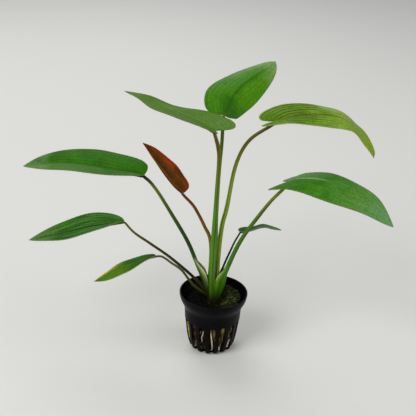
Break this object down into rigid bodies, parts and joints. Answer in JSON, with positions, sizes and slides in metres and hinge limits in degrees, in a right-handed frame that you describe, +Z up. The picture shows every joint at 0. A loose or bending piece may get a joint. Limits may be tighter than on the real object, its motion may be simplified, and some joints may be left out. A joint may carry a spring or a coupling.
{
  "type": "potted echinodorus",
  "caption": "Potted aquarium sword plant: a rosette of long-stalked green leaves and one red young leaf, rooted in a slotted black nursery pot.",
  "frame": {"origin": "centre of the pot's flat underside, on the surface that the pot stands on", "axes": "+Z up along the pot's axis, +X to the right of the pictured front, along the plant's widest spread, -Y towards the viewer of that front"},
  "size_m": [0.2793, 0.1232, 0.2214],
  "materials": {
    "pot": "moulded black plastic, slightly glossy",
    "rock_wool": "wet, dark fibrous rock wool",
    "crown": "smooth plant tissue",
    "stalk_green": "smooth green plant tissue",
    "stalk_brown": "smooth brown-green plant tissue",
    "leaf_green": "satin leaf",
    "leaf_grey_green": "satin leaf",
    "leaf_yellow_green": "satin leaf with red-brown veins",
    "leaf_red": "satin young leaf, red-brown",
    "root": "pale smooth root"
  },
  "bodies": {
    "root": {"pot": "pot", "growing_medium": "rock_wool", "crown": "crown", "top_stalk": "stalk_green", "upper_left_stalk": "stalk_green", "upper_right_stalk": "stalk_green", "left_stalk": "stalk_green", "lower_left_stalk": "stalk_brown", "bottom_left_stalk": "stalk_brown", "red_stalk": "stalk_brown", "right_stalk": "stalk_green", "small_right_stalk": "stalk_brown", "top_blade": "leaf_green", "upper_left_blade": "leaf_grey_green", "upper_right_blade": "leaf_yellow_green", "left_blade": "leaf_green", "lower_left_blade": "leaf_green", "bottom_left_blade": "leaf_green", "red_blade": "leaf_red", "right_blade": "leaf_green", "small_right_blade": "leaf_green", "root_front": "root", "root_front_left": "root", "root_front_right": "root", "root_right": "root"}
  },
  "joints": []
}
